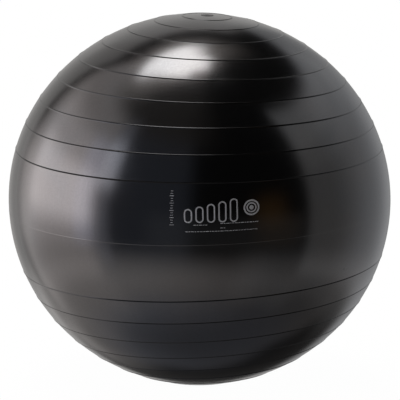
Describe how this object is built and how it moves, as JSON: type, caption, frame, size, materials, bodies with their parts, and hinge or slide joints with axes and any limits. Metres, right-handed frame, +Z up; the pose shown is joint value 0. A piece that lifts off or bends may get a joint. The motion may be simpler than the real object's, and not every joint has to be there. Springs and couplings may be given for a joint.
{
  "type": "exercise ball",
  "caption": "Inflated ribbed exercise ball that rests on a small flat patch, with a valve seat at the top and a push-in plug that pulls straight out.",
  "frame": {"origin": "middle of the flat patch that the ball rests on, straight below the valve", "axes": "+Z up through the valve, -Y towards the printed front, +X to the right of someone who looks at that front"},
  "size_m": [0.6499, 0.65, 0.6306],
  "materials": {
    "skin_vinyl": "satin pearl charcoal vinyl with a fine grain",
    "valve_vinyl": "soft satin black",
    "plug_vinyl": "satin dark grey",
    "print_ink": "silver-grey screen ink"
  },
  "bodies": {
    "ball": {"ball_shell": "skin_vinyl", "valve_seat": "valve_vinyl"},
    "plug": {"valve_plug": "plug_vinyl"}
  },
  "joints": [
    {"name": "plug_pull", "type": "slide", "parent": "ball", "child": "plug", "axis": [0, 0, 1], "range_m": [0, 0.024]}
  ]
}
